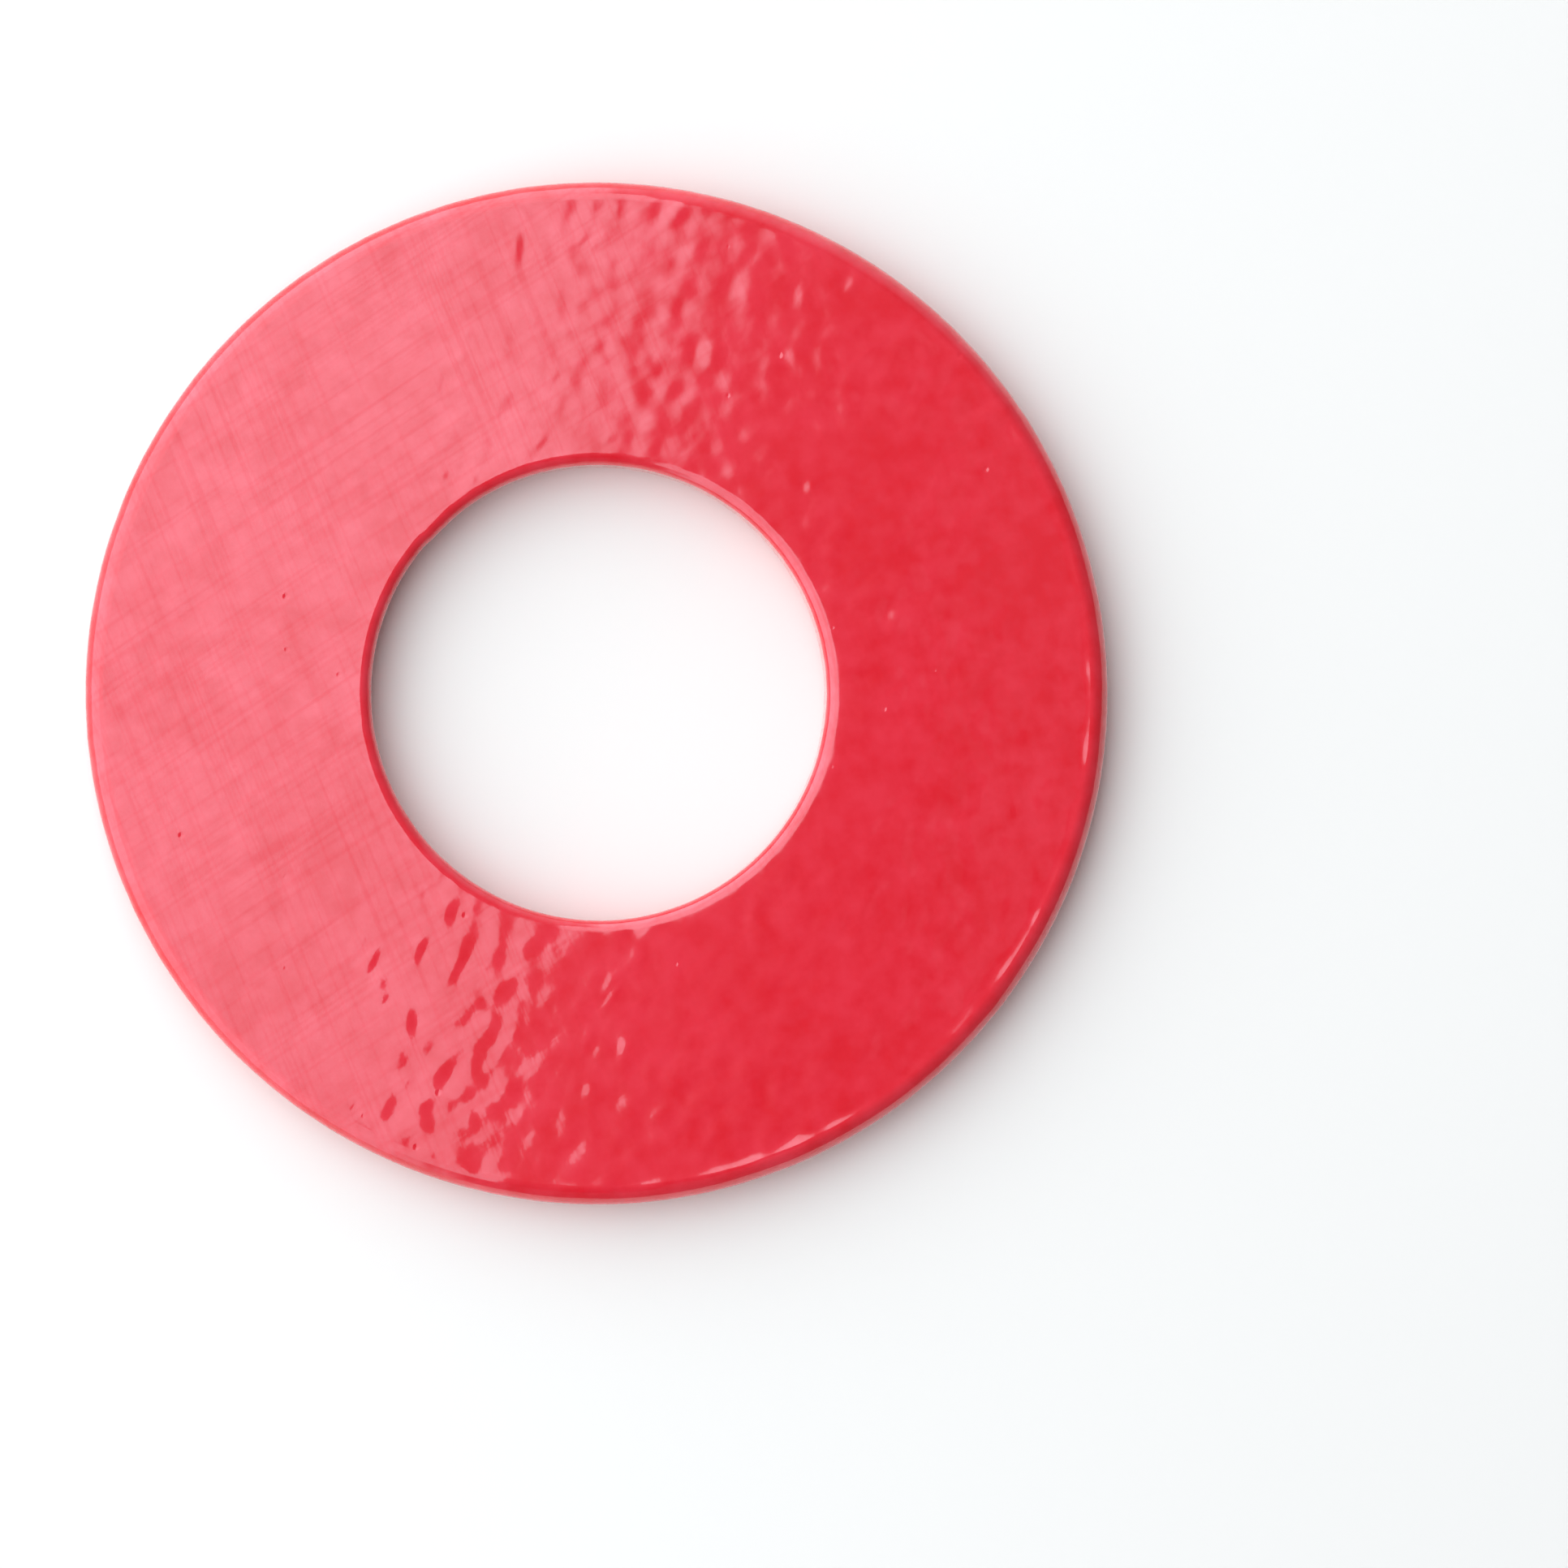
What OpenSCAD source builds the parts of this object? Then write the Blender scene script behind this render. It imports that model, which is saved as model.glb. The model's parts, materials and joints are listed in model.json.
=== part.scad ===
// Flat tossing ring: a stamped steel ring with a thick, smooth coating cured all over it.
// It lies flat on Z = 0 with its axis along +Z, centred on the origin.

/* [Steel core] */
// Outside diameter of the bare steel ring
core_outer_d = 63.5; // [50:0.5:90]
// Diameter of the punched hole in the bare steel
core_hole_d = 28.575; // [15:0.025:40]
// Thickness of the steel plate
core_t = 3.175; // [2.975:0.1:6.075]
// Radius that tumbling leaves on both outer edges of the steel
core_rim_r = 1.05; // [0.2:0.05:1.4]
// Radius that tumbling leaves on both edges of the hole
core_hole_r = 0.6; // [0.2:0.05:1.2]

/* [Coating] */
// Thickness of the cured coating on every surface
coat_t = 0.12; // [0.05:0.01:0.3]

/* [Hidden] */
$fn = 180;
STEEL = [0.62, 0.63, 0.65];
RED = [0.90, 0.16, 0.24];

// Half section of a flat ring standing on Y = 0, with its corners rounded.
// The body is a tall middle and a lower, wider band, and a disc fills each corner.
module ring_section(outer_r, inner_r, height, rim_r, hole_r) {
    translate([inner_r + hole_r, 0])
        square([outer_r - rim_r - inner_r - hole_r, height]);
    translate([inner_r, hole_r])
        square([hole_r, height - 2 * hole_r]);
    translate([outer_r - rim_r, rim_r])
        square([rim_r, height - 2 * rim_r]);
    for (y = [rim_r, height - rim_r])
        translate([outer_r - rim_r, y])
            circle(r = rim_r);
    for (y = [hole_r, height - hole_r])
        translate([inner_r + hole_r, y])
            circle(r = hole_r);
}

// A ring as large as the steel plus a skin of the given thickness on every surface.
module ring_with_skin(skin) {
    rotate_extrude()
        ring_section(
            core_outer_d / 2 + skin,
            core_hole_d / 2 - skin,
            core_t + 2 * skin,
            core_rim_r + skin,
            core_hole_r + skin
        );
}

// Punched and tumbled plate ring, held a coating's thickness above the floor by its own coating.
module steel_core() {
    color(STEEL)
        translate([0, 0, coat_t])
            ring_with_skin(0);
}

// Closed film that meets the steel face to face all over.
module red_coating() {
    color(RED)
        difference() {
            ring_with_skin(coat_t);
            translate([0, 0, coat_t])
                ring_with_skin(0);
        }
}

steel_core();
red_coating();
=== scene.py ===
import json
import math

import bpy
import numpy as np
from mathutils import Matrix, Vector


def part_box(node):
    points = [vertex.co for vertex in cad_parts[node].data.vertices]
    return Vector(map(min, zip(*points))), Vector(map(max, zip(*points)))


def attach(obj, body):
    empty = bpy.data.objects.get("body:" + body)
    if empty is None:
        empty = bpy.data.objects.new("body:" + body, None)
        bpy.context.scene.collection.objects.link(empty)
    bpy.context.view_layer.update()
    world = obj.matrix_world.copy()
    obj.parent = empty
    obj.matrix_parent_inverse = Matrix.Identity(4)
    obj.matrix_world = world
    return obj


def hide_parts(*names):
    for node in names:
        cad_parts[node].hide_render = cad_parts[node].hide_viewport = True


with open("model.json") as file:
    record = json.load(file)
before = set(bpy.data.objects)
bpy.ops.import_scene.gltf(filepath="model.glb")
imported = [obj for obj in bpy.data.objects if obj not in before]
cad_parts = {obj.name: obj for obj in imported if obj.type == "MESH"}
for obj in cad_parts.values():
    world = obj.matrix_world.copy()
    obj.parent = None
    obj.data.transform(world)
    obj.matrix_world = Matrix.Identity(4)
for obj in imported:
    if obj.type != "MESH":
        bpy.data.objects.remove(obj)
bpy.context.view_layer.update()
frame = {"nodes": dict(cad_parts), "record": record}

MM = 0.001
SEED = 66

# ---------------------------------------------------------------- sizes, from the frame

COAT_LO, COAT_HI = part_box("red_coating")
CORE_LO, CORE_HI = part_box("steel_core")
BORE = next(m for m in frame["record"]["mounts"] if m["name"] == "bore")

OUTER_R = COAT_HI.x
HOLE_R = BORE["dims"]["r_mm"] * MM
TOP_Z = COAT_HI.z
FILM_T = CORE_LO.z - COAT_LO.z
FLAT_WITHIN = 0.002 * MM


def polar(places):
    """Each place's distance from the ring's axis and its turn about it."""
    return np.hypot(places[:, 0], places[:, 1]), np.arctan2(places[:, 1], places[:, 0])


def top_face_radii():
    """Where the CAD coating's flat top face begins and ends."""
    points = np.array([v.co for v in frame["nodes"]["red_coating"].data.vertices])
    radii, _ = polar(points[points[:, 2] > TOP_Z - FLAT_WITHIN])
    return radii.min(), radii.max()


FLAT_IN, FLAT_OUT = top_face_radii()
RIM_ROLL = OUTER_R - FLAT_OUT
HOLE_ROLL = FLAT_IN - HOLE_R

# ---------------------------------------------------------------- camera

CAMERA_DISTANCE = 0.45
CAMERA_TILT = math.radians(3.0)
CAMERA_LEAN = math.radians(218.0)
FRAME_SIDE = 97.6 * MM
AIM = Vector((11.48 * MM, -5.69 * MM, TOP_Z))
SENSOR = 36.0
CLIP_NEAR = 0.01
CLIP_FAR = 20


def show(name, data):
    """A new object of this name, put in the scene."""
    thing = bpy.data.objects.new(name, data)
    bpy.context.scene.collection.objects.link(thing)
    return thing


def camera_place():
    """The ring's face is seen almost square on, from a little to its lower left."""
    lean = Vector((math.cos(CAMERA_LEAN), math.sin(CAMERA_LEAN), 0))
    up = Vector((0, 0, 1))
    return Vector((0, 0, TOP_Z)) + CAMERA_DISTANCE * (
        math.sin(CAMERA_TILT) * lean + math.cos(CAMERA_TILT) * up
    )


def make_camera():
    """Looks from its place at AIM, and takes in FRAME_SIDE there."""
    data = bpy.data.cameras.new("camera")
    camera = show("camera", data)
    camera.location = camera_place()
    toward = AIM - camera.location
    back = -toward.normalized()
    right = Vector((0, 1, 0)).cross(back).normalized()
    up = back.cross(right)
    camera.matrix_world = Matrix.Translation(camera.location) @ Matrix(
        (right, up, back)
    ).transposed().to_4x4()
    data.sensor_width = SENSOR
    data.lens = SENSOR * toward.length / FRAME_SIDE
    data.clip_start = CLIP_NEAR
    data.clip_end = CLIP_FAR
    bpy.context.scene.camera = camera


make_camera()

# ---------------------------------------------------------------- node helpers


def new_material(name):
    """A material with its Principled shader, and its node tree."""
    material = bpy.data.materials.new(name)
    material.use_nodes = True
    return material, material.node_tree, material.node_tree.nodes["Principled BSDF"]


def add(tree, kind, inputs=None, **settings):
    """A node with its settings, its unlinked values and its links in one call."""
    node = tree.nodes.new(kind)
    for name, value in settings.items():
        setattr(node, name, value)
    for name, value in (inputs or {}).items():
        if isinstance(value, bpy.types.NodeSocket):
            tree.links.new(value, node.inputs[name])
        else:
            node.inputs[name].default_value = value
    return node


# ---------------------------------------------------------------- surface of the film

# How much finer the steps become at the ends of a straight stretch, and how close to them
GRADING = 0.106
GRADING_POWER = 9


def graded(t):
    """Steps from 0 to 1 that are even in the middle and finer close to both ends."""
    u = 2 * t - 1
    return 0.5 + 0.5 * ((1 + GRADING) * u - GRADING * u**GRADING_POWER)


def section(outer_r, hole_r, low, high, rim, roll, counts):
    """Points and normals of a ring's half section, going out along the top face, round the
    rim, in along the bottom face and up through the hole."""
    top, rim_top, rim_wall, rim_base, bottom, hole_base, hole_wall, hole_top = counts
    points, normals = [], []

    def line(r0, z0, r1, z1, normal, count):
        for t in graded(np.arange(count) / count):
            points.append((r0 + (r1 - r0) * t, z0 + (z1 - z0) * t))
            normals.append(normal)

    def arc(r, z, size, start, count):
        for angle in start - math.pi / 2 * np.arange(count) / count:
            normal = (math.cos(angle), math.sin(angle))
            points.append((r + size * normal[0], z + size * normal[1]))
            normals.append(normal)

    quarter = math.pi / 2
    line(hole_r + roll, high, outer_r - rim, high, (0, 1), top)
    arc(outer_r - rim, high - rim, rim, quarter, rim_top)
    line(outer_r, high - rim, outer_r, low + rim, (1, 0), rim_wall)
    arc(outer_r - rim, low + rim, rim, 0, rim_base)
    line(outer_r - rim, low, hole_r + roll, low, (0, -1), bottom)
    arc(hole_r + roll, low + roll, roll, -quarter, hole_base)
    line(hole_r, low + roll, hole_r, high - roll, (-1, 0), hole_wall)
    arc(hole_r + roll, high - roll, roll, -2 * quarter, hole_top)
    return np.array(points), np.array(normals)


def revolve(points, normals, around):
    """The section turned about Z: places and normals, as (around, along, 3)."""
    turn = 2 * math.pi * np.arange(around) / around
    spin = np.stack([np.cos(turn), np.sin(turn)], 1)

    def swept(pairs):
        flat = pairs[None, :, 0, None] * spin[:, None, :]
        tall = np.broadcast_to(pairs[None, :, 1, None], flat.shape[:2] + (1,))
        return np.concatenate([flat, tall], 2)

    return swept(points), swept(normals)


def quads(around, along, first=0, inward=False):
    """The faces of a closed surface of around by along points, numbered from first."""
    i, j = np.meshgrid(np.arange(around), np.arange(along), indexing="ij")
    i1, j1 = (i + 1) % around, (j + 1) % along
    corners = [i * along + j, i * along + j1, i1 * along + j1, i1 * along + j]
    if inward:
        corners.reverse()
    return first + np.stack(corners, 2).reshape(-1, 4)


def waves(rng, places, shortest, longest, count):
    """A smooth random field of unit size, made of plane waves that run every way."""
    heading = rng.normal(size=(count, 3))
    heading /= np.linalg.norm(heading, axis=1)[:, None]
    length = rng.uniform(shortest, longest, count)
    phase = rng.uniform(0, 2 * math.pi, count)
    field = np.zeros(len(places))
    for h, l, p in zip(heading, length, phase):
        field += np.cos(places @ (h * 2 * math.pi / l) + p)
    return field * math.sqrt(2 / count)


# Orange peel: three sets of ripples, the first two drawn out along one direction in the half
# of the ring that hung lowest. Each set is its height, its stretch there, its stretch in the
# other half, its shortest and longest wave, and how many waves.
PEEL_SETS = (
    (2.7e-6, 1.35, 1.0, 1.4 * MM, 2.6 * MM, 140),
    (1.9e-6, 1.05, 0.85, 1.2 * MM, 2.1 * MM, 140),
    (0.5e-6, 1.0, 1.0, 0.7 * MM, 1.2 * MM, 140),
)
PEEL_HEADING = math.radians(62)
PEEL_BLEND = 12 * MM
PEEL_NEAR_HOLE = 0.75
PEEL_NEAR_RIM = 1.2
CLOUD_WAVES = (5 * MM, 12 * MM, 24)
CLOUD_SHARE = 0.35
CLOUD_LIMIT = 2

# The wet film ran away from the hook and drew up into a bead beside the far side of the rim
HOOK_TURN = math.radians(137)
BEAD_HEIGHT = 36e-6
BEAD_WIDTH = 0.42 * MM
BEAD_IN = 0.98 * MM
BEAD_WAVES = (2 * MM, 7 * MM, 40)
BEAD_GATHERED = 2.4
BEAD_UNEVEN = 0.4
BEAD_LEAST = 0.1


def drawn_out(places, low_stretch, high_stretch):
    """The same places with distances along the peel's own direction shortened."""
    along = np.array([math.cos(PEEL_HEADING), math.sin(PEEL_HEADING), 0])
    reach = places @ along
    high = np.clip(0.5 + reach / PEEL_BLEND, 0, 1)
    high = high * high * (3 - 2 * high)
    pull = 1 - 1 / (low_stretch + (high_stretch - low_stretch) * high)
    return places - (reach * pull)[:, None] * along


def peel(rng, places):
    """The film's orange peel, stronger in some places than in others and towards the rim."""
    grain = np.zeros(len(places))
    for height, low_stretch, high_stretch, *lengths in PEEL_SETS:
        grain += height * waves(rng, drawn_out(places, low_stretch, high_stretch), *lengths)
    r, _ = polar(places)
    outward = np.interp(r, (FLAT_IN, FLAT_OUT), (PEEL_NEAR_HOLE, PEEL_NEAR_RIM))
    cloud = np.clip(waves(rng, places, *CLOUD_WAVES), -CLOUD_LIMIT, CLOUD_LIMIT)
    return grain * outward * (1 + CLOUD_SHARE * cloud)


def bead(rng, places, normals):
    """The low ridge beside the rim, highest away from the hook and uneven along its length."""
    r, turn = polar(places)
    sag = ((1 - np.cos(turn - HOOK_TURN)) / 2) ** BEAD_GATHERED
    uneven = np.clip(1 + BEAD_UNEVEN * waves(rng, places, *BEAD_WAVES), BEAD_LEAST, None)
    ridge = np.exp(-(((r - (OUTER_R - BEAD_IN)) / BEAD_WIDTH) ** 2))
    return BEAD_HEIGHT * sag * np.abs(normals[:, 2]) * uneven * ridge


# As it nears the hole the film draws thinner, except beside the hook, where it gathers
THIN_DEPTH = 12e-6
THIN_REACH = 0.28 * MM
THIN_MEAN = 0.2
THIN_SWING = 0.8


def thinning(places):
    """The film's height beside the hole, which is below 0 where it has drawn thinner."""
    r, turn = polar(places)
    share = THIN_MEAN - THIN_SWING * np.cos(turn - HOOK_TURN)
    return -THIN_DEPTH * share * np.exp(-np.maximum(r - FLAT_IN, 0) / THIN_REACH)


def facet(places, x, y, width, length, heading, tilt):
    """A small patch of the top face that leans to the right, or to the left if tilt is below 0.
    x, y, width and length are in millimetres, and heading is the long side's angle."""
    a = math.radians(heading)
    dx, dy = places[:, 0] - x * MM, places[:, 1] - y * MM
    along = (dx * math.cos(a) + dy * math.sin(a)) / (length * MM / 2)
    across = (dx * math.sin(a) - dy * math.cos(a)) / (width * MM / 2)
    on_top = places[:, 2] > TOP_Z / 2
    lean = -tilt * across * (width * MM / 2)
    return lean * np.exp(-(along**2 + across**2)) * on_top


# x, y, width, length, heading of the long side, tilt
FACETS = [
    (-9.2, -13.7, 1.1, 1.3, 80, 0.055),
    (-11.1, -16.0, 0.9, 1.5, 70, 0.060),
    (-14.1, -16.9, 0.8, 2.0, 65, 0.065),
    (-8.7, -17.0, 0.8, 1.7, 60, 0.050),
    (-11.7, -20.6, 1.2, 1.5, 90, 0.055),
    (-13.3, -19.1, 0.6, 0.9, 45, 0.060),
    (-15.3, -25.6, 0.7, 1.0, 55, 0.060),
    (-5.0, 27.5, 0.9, 2.2, 88, 0.065),
    (-0.9, 28.2, 0.5, 1.1, 60, 0.060),
    (1.3, 30.0, 0.9, 1.3, 80, 0.045),
    (8.9, 25.2, 1.7, 1.7, 90, -0.035),
    (12.4, 24.8, 0.8, 1.3, 80, -0.050),
    (15.5, 25.4, 0.8, 1.3, 70, -0.060),
    (11.8, 21.1, 1.2, 1.3, 90, -0.045),
    (6.5, 21.5, 1.5, 1.8, 80, -0.030),
    (12.9, 12.8, 0.9, 0.9, 90, -0.050),
    (1.2, -21.9, 1.1, 1.1, 90, -0.045),
    (-0.8, -24.6, 0.8, 0.8, 90, -0.045),
    (0.7, -18.8, 0.4, 1.8, 55, -0.050),
]


def facets(places):
    """All the larger marks together."""
    return sum(facet(places, *mark) for mark in FACETS)


# Small dents scattered over the top face, most of them leaning to the right
DENTS = 110
DENT_WIDTH = (0.45, 0.95)
DENT_STRETCH = (1.2, 2.2)
DENT_TILT = (0.012, 0.032)
DENT_HEADING = 66
DENT_HEADING_SPREAD = 14
DENT_LEANS = (-0.8, 1, 1, 1)


def dents(rng, places):
    """All the small dents together."""
    total = np.zeros(len(places))
    for _ in range(DENTS):
        r = math.sqrt(rng.uniform((FLAT_IN / MM) ** 2, (FLAT_OUT / MM) ** 2))
        turn = rng.uniform(-math.pi, math.pi)
        width = rng.uniform(*DENT_WIDTH)
        length = width * rng.uniform(*DENT_STRETCH)
        heading = rng.normal(DENT_HEADING, DENT_HEADING_SPREAD)
        tilt = rng.choice(DENT_LEANS) * rng.uniform(*DENT_TILT)
        x, y = r * math.cos(turn), r * math.sin(turn)
        total += facet(places, x, y, width, length, heading, tilt)
    return total


# Two dimples to each grain, over both faces
CRATERS = 260
CRATER_SIZE = (0.22, 0.42)
CRATER_HEIGHT = (2e-6, 6e-6)
CRATER_SIGNS = (-1, -1, 1)


def craters(rng, places):
    """Small dimples and grains scattered over both faces."""
    total = np.zeros(len(places))
    r, _ = polar(places)
    for _ in range(CRATERS):
        at_r = math.sqrt(rng.uniform(FLAT_IN**2, FLAT_OUT**2))
        at_turn = rng.uniform(-math.pi, math.pi)
        top = rng.random() < 0.5
        size = rng.uniform(*CRATER_SIZE) * MM
        height = rng.choice(CRATER_SIGNS) * rng.uniform(*CRATER_HEIGHT)
        near = np.abs(r - at_r) < 3 * size
        near &= (places[:, 2] > TOP_Z / 2) == top
        dx = places[near, 0] - at_r * math.cos(at_turn)
        dy = places[near, 1] - at_r * math.sin(at_turn)
        total[near] += height * np.exp(-(dx**2 + dy**2) / size**2)
    return total


# Where the ring hung on its hook the film bridges a little way into the hole. It thickens
# slowly from one side and ends short on the other.
HOOK_SLOW = 2.4 * MM
HOOK_SHORT = 0.45 * MM
HOOK_HEIGHT = 0.10 * MM


def hook_mark(places):
    """How far the film stands proud where it bridged to the hook."""
    r, turn = polar(places)
    along = (turn - HOOK_TURN) * HOLE_R
    reach = np.where(along < 0, HOOK_SLOW, HOOK_SHORT)
    edge = np.clip((FLAT_IN - r) / HOLE_ROLL, 0, 1)
    return HOOK_HEIGHT * np.exp(-((along / reach) ** 2)) * edge


# Points round the ring, and along each of the section's eight stretches in turn
AROUND = 620
SKIN_COUNTS = (84, 12, 2, 6, 24, 6, 2, 10)
LINING_AROUND = 144
LINING_COUNTS = (2, 4, 1, 4, 2, 4, 1, 4)


def smooth(mesh):
    """Shades every face of the mesh smooth."""
    mesh.polygons.foreach_set("use_smooth", [True] * len(mesh.polygons))


def film_mesh():
    """The outside of the film with all its relief, and the smooth inside that meets the steel."""
    rng = np.random.default_rng(SEED)
    skin, facing = section(OUTER_R, HOLE_R, COAT_LO.z, TOP_Z, RIM_ROLL, HOLE_ROLL, SKIN_COUNTS)
    places, normals = (a.reshape(-1, 3) for a in revolve(skin, facing, AROUND))
    relief = (
        peel(rng, places)
        + dents(rng, places)
        + bead(rng, places, normals)
        + thinning(places)
        + craters(rng, places)
        + facets(places)
        + hook_mark(places)
    )
    places = places + normals * relief[:, None]
    lining, facing = section(
        OUTER_R - FILM_T,
        HOLE_R + FILM_T,
        CORE_LO.z,
        CORE_HI.z,
        RIM_ROLL - FILM_T,
        HOLE_ROLL - FILM_T,
        LINING_COUNTS,
    )
    inner = revolve(lining, facing, LINING_AROUND)[0].reshape(-1, 3)
    faces = np.concatenate(
        [
            quads(AROUND, len(skin), inward=True),
            quads(LINING_AROUND, len(lining), first=len(places)),
        ]
    )
    mesh = bpy.data.meshes.new("red_coating_film")
    mesh.from_pydata(np.concatenate([places, inner]).tolist(), [], faces.tolist())
    smooth(mesh)
    mesh.update()
    return mesh


# ---------------------------------------------------------------- materials


def noise(tree, vector, scale, detail=2.0, roughness=0.5):
    """Smooth noise with scale lumps to the metre."""
    inputs = {"Vector": vector, "Scale": scale, "Detail": detail, "Roughness": roughness}
    return add(tree, "ShaderNodeTexNoise", inputs).outputs["Fac"]


def span(tree, value, start, end, low, high, **settings):
    """value mapped from start..end to low..high. Any of them may be a socket."""
    names = ("Value", "From Min", "From Max", "To Min", "To Max")
    inputs = dict(zip(names, (value, start, end, low, high)))
    return add(tree, "ShaderNodeMapRange", inputs, **settings).outputs["Result"]


def maths(tree, operation, a, b):
    """A sum, product or other operation on two values or sockets."""
    return add(tree, "ShaderNodeMath", {0: a, 1: b}, operation=operation).outputs["Value"]


def ramp(tree, value, *stops):
    """A colour that runs from the first stop to the second, each a position and a colour."""
    node = add(tree, "ShaderNodeValToRGB", {"Fac": value})
    for element, (position, colour) in zip(node.color_ramp.elements, stops):
        element.position = position
        element.color = colour
    return node.outputs["Color"]


# Faint straight lines: the angle in degrees and the width of each of two families
HAIRLINES = ((34, 0.30 * MM), (112, 0.24 * MM))
HAIRLINE_REACH = 17 * MM
HAIRLINE_HEIGHT = 0.25e-6
HAIRLINE_DULLING = 0.28


def hairlines(tree, place, angle, width):
    """Fine straight lines at an angle, grouped in a few faint patches."""
    inputs = {
        "Vector": place,
        "Rotation": (0, 0, math.radians(angle)),
        "Scale": (HAIRLINE_REACH, width, HAIRLINE_REACH),
    }
    turned = add(tree, "ShaderNodeMapping", inputs, vector_type="TEXTURE")
    lines = noise(tree, turned.outputs["Vector"], 1.0, 1.0)
    patch = span(tree, noise(tree, turned.outputs["Vector"], 1.2, 0.0), 0.5, 0.68, 0.0, 1.0)
    return maths(tree, "MULTIPLY", lines, patch)


# Pits: cells to the metre, each pit's depth, and the spot of the top face with more of them.
# The rarity is the share of cells left without a pit, at the spot and away from it.
PIT_CELLS = 620.0
PIT_DEPTH = 14e-6
PITTED_SPOT = (-10.5 * MM, -17.5 * MM, TOP_Z)
PITTED_WITHIN = 7.5 * MM
PITTED_FADED = 11 * MM
PIT_RARITY = (0.70, 0.92)


def pinholes(tree, place):
    """1 in the middle of a few tiny round pits, falling to 0 at their edges. There are more of
    them around one spot of the top face than elsewhere."""
    cells = add(tree, "ShaderNodeTexVoronoi", {"Vector": place, "Scale": PIT_CELLS})
    inside = span(tree, cells.outputs["Distance"], 0.03, 0.14, 1.0, 0.0)
    chosen = add(tree, "ShaderNodeSeparateColor", {"Color": cells.outputs["Color"]})
    ends = {0: place, 1: PITTED_SPOT}
    away = add(tree, "ShaderNodeVectorMath", ends, operation="DISTANCE").outputs["Value"]
    rarity = span(tree, away, PITTED_WITHIN, PITTED_FADED, *PIT_RARITY)
    few = maths(tree, "GREATER_THAN", chosen.outputs["Red"], rarity)
    return maths(tree, "MULTIPLY", inside, few)


# Lumps to the metre in the film's colour, from coarse to fine, and its deepest and palest red
CLOUDS = 170.0
MOTTLES = 560.0
DEEP_RED = (0.718, 0.0100, 0.0189, 1)
PALE_RED = (0.784, 0.0275, 0.0433, 1)
GRAINS = 620.0
GRAIN_HEIGHT = 7e-6


def red_film_material():
    """Glossy crimson film: a soft-shining pigmented body under a hard, clear-shining skin."""
    material, tree, shader = new_material("red_film")
    place = add(tree, "ShaderNodeTexCoord").outputs["Object"]
    cloud = noise(tree, place, CLOUDS, 4.0, 0.6)
    mottle = maths(tree, "ADD", cloud, noise(tree, place, MOTTLES, 3.0, 0.6))
    tint = ramp(tree, maths(tree, "MULTIPLY", mottle, 0.5), (0.38, DEEP_RED), (0.62, PALE_RED))
    tree.links.new(tint, shader.inputs["Base Color"])
    tree.links.new(span(tree, cloud, 0.3, 0.7, 0.24, 0.14), shader.inputs["Roughness"])

    lines = maths(tree, "ADD", *(hairlines(tree, place, *family) for family in HAIRLINES))
    gloss = span(tree, mottle, 0.7, 1.3, 0.78, 1.0)
    dulling = span(tree, lines, 0.0, 1.0, 0.0, HAIRLINE_DULLING)
    tree.links.new(maths(tree, "SUBTRACT", gloss, dulling), shader.inputs["Coat Weight"])

    height = maths(tree, "MULTIPLY", noise(tree, place, GRAINS), GRAIN_HEIGHT)
    pits = maths(tree, "MULTIPLY", pinholes(tree, place), PIT_DEPTH)
    height = maths(tree, "SUBTRACT", height, pits)
    height = maths(tree, "ADD", height, maths(tree, "MULTIPLY", lines, HAIRLINE_HEIGHT))
    ripple = add(tree, "ShaderNodeBump", {"Height": height, "Strength": 1.0, "Distance": 1.0})
    tree.links.new(ripple.outputs["Normal"], shader.inputs["Normal"])
    tree.links.new(ripple.outputs["Normal"], shader.inputs["Coat Normal"])
    shader.inputs["IOR"].default_value = 1.5
    shader.inputs["Specular IOR Level"].default_value = 0.3
    shader.inputs["Coat IOR"].default_value = 1.64
    shader.inputs["Coat Roughness"].default_value = 0.04
    return material


DARK_SCALE = (0.24, 0.235, 0.235, 1)
BARE_STEEL = (0.42, 0.42, 0.43, 1)
GRAIN_PER_METRE = (40, 900, 900)
GRAIN_DEPTH = 8e-6


def rolled_steel_material():
    """Grey rolled plate, with its grain along X and a few darker scale patches."""
    material, tree, shader = new_material("rolled_steel")
    place = add(tree, "ShaderNodeTexCoord").outputs["Object"]
    inputs = {"Vector": place, "Scale": GRAIN_PER_METRE}
    stretched = add(tree, "ShaderNodeMapping", inputs).outputs["Vector"]
    grain = noise(tree, stretched, 1.0, 4.0)
    patches = noise(tree, place, 120.0, 5.0)
    colour = ramp(tree, patches, (0.35, DARK_SCALE), (0.6, BARE_STEEL))
    tree.links.new(colour, shader.inputs["Base Color"])
    tree.links.new(span(tree, grain, 0.0, 1.0, 0.3, 0.55), shader.inputs["Roughness"])
    lines = {"Height": grain, "Strength": 0.6, "Distance": GRAIN_DEPTH}
    rolled = add(tree, "ShaderNodeBump", lines).outputs["Normal"]
    tree.links.new(rolled, shader.inputs["Normal"])
    shader.inputs["Metallic"].default_value = 1.0
    return material


# ---------------------------------------------------------------- the ring


def make_coating():
    """The finer film, which stands for the CAD coating."""
    coating = show("red_coating_film", film_mesh())
    coating.data.materials.append(red_film_material())
    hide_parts("red_coating")
    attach(coating, "root")


def dress_core():
    """Gives the CAD core its material."""
    core = frame["nodes"]["steel_core"]
    core.data.materials.clear()
    core.data.materials.append(rolled_steel_material())


make_coating()
dress_core()

# ---------------------------------------------------------------- studio

FLOOR_FLAT = 1.0
FLOOR_EDGE = 2.6
FLOOR_RISE = 0.24
FLOOR_COLOUR = (0.90, 0.765, 0.675, 1)
FLOOR_STEPS = 40
FLOOR_AROUND = 96


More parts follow.
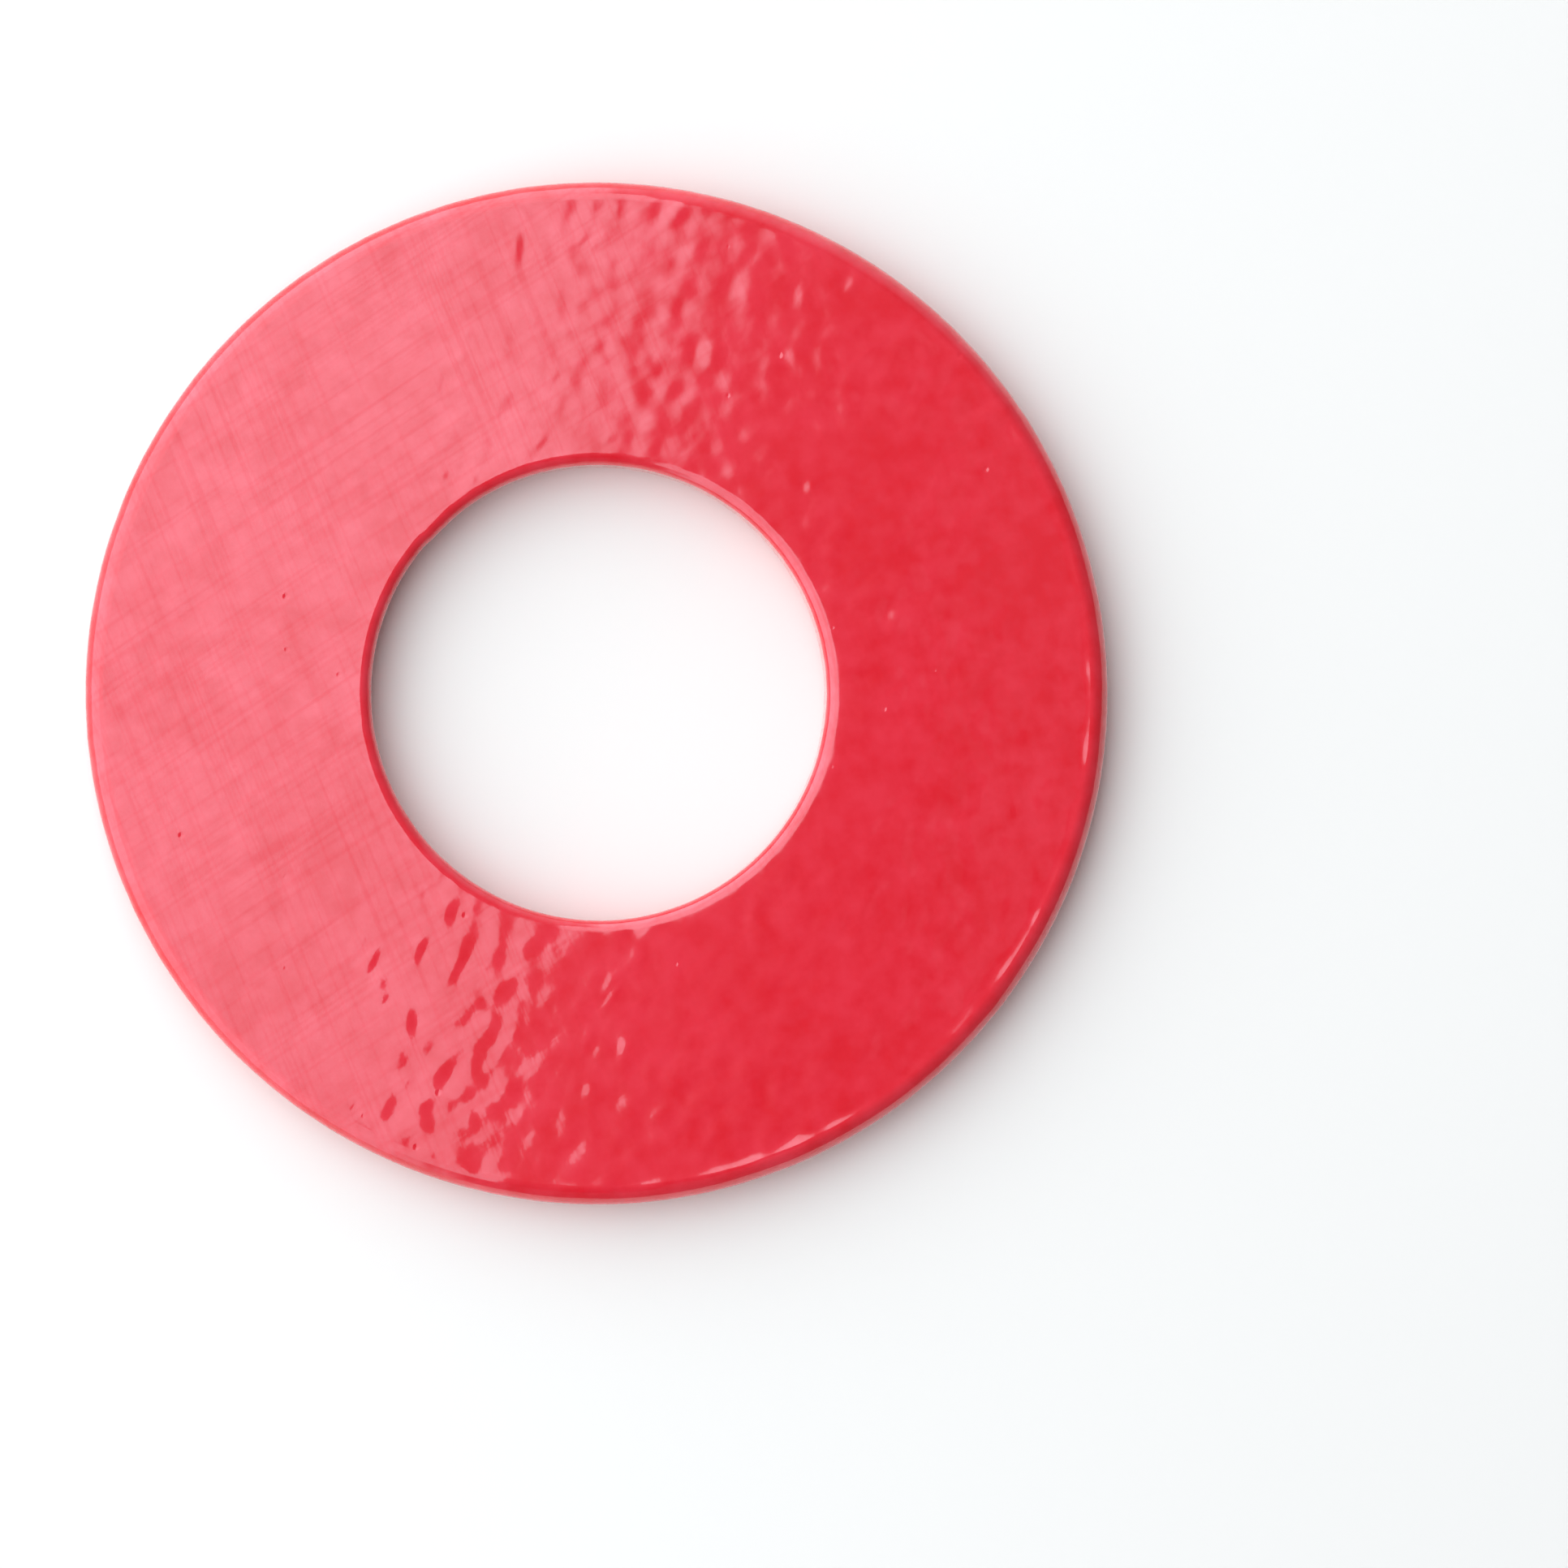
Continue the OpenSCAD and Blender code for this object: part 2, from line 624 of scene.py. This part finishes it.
def floor_material():
    """Plain pale matt."""
    material, _, shader = new_material("pale_floor")
    shader.inputs["Base Color"].default_value = FLOOR_COLOUR
    shader.inputs["Roughness"].default_value = 0.9
    shader.inputs["Specular IOR Level"].default_value = 0.2
    return material


def make_floor():
    """A pale floor that is flat under the ring and sweeps up gently all round, far away."""
    steps = np.linspace(0, 1, FLOOR_STEPS)
    radii = FLOOR_FLAT + (FLOOR_EDGE - FLOOR_FLAT) * steps
    heights = FLOOR_RISE * steps**2
    profile = np.stack([radii, heights], 1)
    places = revolve(profile, profile, FLOOR_AROUND)[0].reshape(-1, 3).tolist()
    faces = [[i * FLOOR_STEPS for i in range(FLOOR_AROUND)]]
    for i in range(FLOOR_AROUND):
        for j in range(FLOOR_STEPS - 1):
            a, b = i * FLOOR_STEPS + j, (i + 1) % FLOOR_AROUND * FLOOR_STEPS + j
            faces.append([a, a + 1, b + 1, b])
    mesh = bpy.data.meshes.new("floor")
    mesh.from_pydata(places, [], faces)
    smooth(mesh)
    floor = show("floor", mesh)
    mesh.materials.append(floor_material())


# The overhead card. Its right-hand edge is placed by where that edge is mirrored in the face.
CARD_HEIGHT = 0.5
CARD_GLOW = 2.5
CARD_TINT = (0.835, 1.0, 1.14, 1)
CARD_REACH = 0.30
CARD_HALF_Y = 0.50
MIRRORED_UPPER = Vector((4.5 * MM, 27.9 * MM))
MIRRORED_LOWER = Vector((-6.8 * MM, -25.1 * MM))
SOFT_UPPER = 0.037
SOFT_LOWER = 0.002

# The share of its glow at each end of a stretch about the card's middle
CARD_STRETCH = 0.06
CARD_SHARES = (0.78, 1.02)


def mirrored(point):
    """The point at the card's height that the camera sees mirrored at this point of the face."""
    eye = camera_place()
    ratio = CARD_HEIGHT / (eye.z - TOP_Z)
    return Vector(point) + ratio * (Vector(point) - eye.xy)


def card_material(upper, lower):
    """Fades out across its right-hand edge, slowly at the top and fast below, and glows a
    little less towards its lower end."""
    material = bpy.data.materials.new("card_glow")
    material.use_nodes = True
    tree = material.node_tree
    tree.nodes.clear()
    place = add(tree, "ShaderNodeTexCoord").outputs["Object"]
    xyz = add(tree, "ShaderNodeSeparateXYZ", {"Vector": place})
    x, y = xyz.outputs["X"], xyz.outputs["Y"]
    edge = span(tree, y, lower.y, upper.y, lower.x, upper.x, clamp=False)
    soft = span(tree, y, lower.y, upper.y, SOFT_LOWER, SOFT_UPPER)
    share = maths(tree, "DIVIDE", maths(tree, "SUBTRACT", edge, x), soft)
    fade = span(tree, share, -0.5, 0.5, 0.0, CARD_GLOW, interpolation_type="SMOOTHSTEP")
    slope = span(tree, y, -CARD_STRETCH, CARD_STRETCH, *CARD_SHARES)
    strength = maths(tree, "MULTIPLY", fade, slope)
    glow = add(tree, "ShaderNodeEmission", {"Color": CARD_TINT, "Strength": strength})
    add(tree, "ShaderNodeOutputMaterial", {"Surface": glow.outputs["Emission"]})
    return material


def make_card():
    """The card, hidden from the camera but mirrored in the ring and lighting it."""
    upper, lower = mirrored(MIRRORED_UPPER), mirrored(MIRRORED_LOWER)
    right = max(upper.x, lower.x) + SOFT_UPPER
    z = TOP_Z + CARD_HEIGHT
    corners = [
        (-CARD_REACH, -CARD_HALF_Y, z),
        (right, -CARD_HALF_Y, z),
        (right, CARD_HALF_Y, z),
        (-CARD_REACH, CARD_HALF_Y, z),
    ]
    mesh = bpy.data.meshes.new("overhead_card")
    mesh.from_pydata(corners, [], [(0, 3, 2, 1)])
    card = show("overhead_card", mesh)
    mesh.materials.append(card_material(upper, lower))
    card.visible_camera = False


# The room: a bright left half, brightest to the upper left, a dim right half, and between
# them a half-lit side beyond the top of the ring
BRIGHT_SIDE = math.radians(169)
BRIGHT_FADE = (0.02, 0.16)
BRIGHTEST = math.radians(125)
ROOM_GLOW = 1.9
ROOM_LIFT = 0.4
ROOM_LEAN = 1.0
DIM_GLOW = 0.16
HALF_LIT_SIDE = math.radians(90)
HALF_LIT_FADE = (0.4, 1.0)
HALF_LIT_GLOW = 1.0


def heading_vector(angle):
    """The level direction at this angle from +X."""
    return Vector((math.cos(angle), math.sin(angle), 0))


def make_world():
    """The room, as light that comes from every direction."""
    world = bpy.data.worlds.new("studio")
    bpy.context.scene.world = world
    world.use_nodes = True
    tree = world.node_tree
    background = tree.nodes["Background"]
    way = add(tree, "ShaderNodeTexCoord").outputs["Generated"]

    def towards(vector):
        inputs = {0: way, 1: vector}
        return add(tree, "ShaderNodeVectorMath", inputs, operation="DOT_PRODUCT").outputs["Value"]

    side = towards(heading_vector(BRIGHT_SIDE))
    bright = span(tree, side, *BRIGHT_FADE, 0.0, 1.0, interpolation_type="SMOOTHSTEP")
    lift = span(tree, towards(Vector((0, 0, 1))), 0.0, 1.0, ROOM_GLOW, ROOM_GLOW + ROOM_LIFT)
    lean = maths(tree, "MULTIPLY", towards(heading_vector(BRIGHTEST)), ROOM_LEAN)
    level = maths(tree, "MULTIPLY", bright, maths(tree, "ADD", lift, lean))
    top_side = towards(heading_vector(HALF_LIT_SIDE))
    beyond = span(tree, top_side, *HALF_LIT_FADE, 0.0, HALF_LIT_GLOW)
    level = maths(tree, "MAXIMUM", level, beyond)
    strength = maths(tree, "ADD", level, DIM_GLOW)
    tree.links.new(strength, background.inputs["Strength"])
    background.inputs["Color"].default_value = CARD_TINT


make_floor()
make_card()
make_world()
bpy.context.scene.view_settings.view_transform = "Standard"
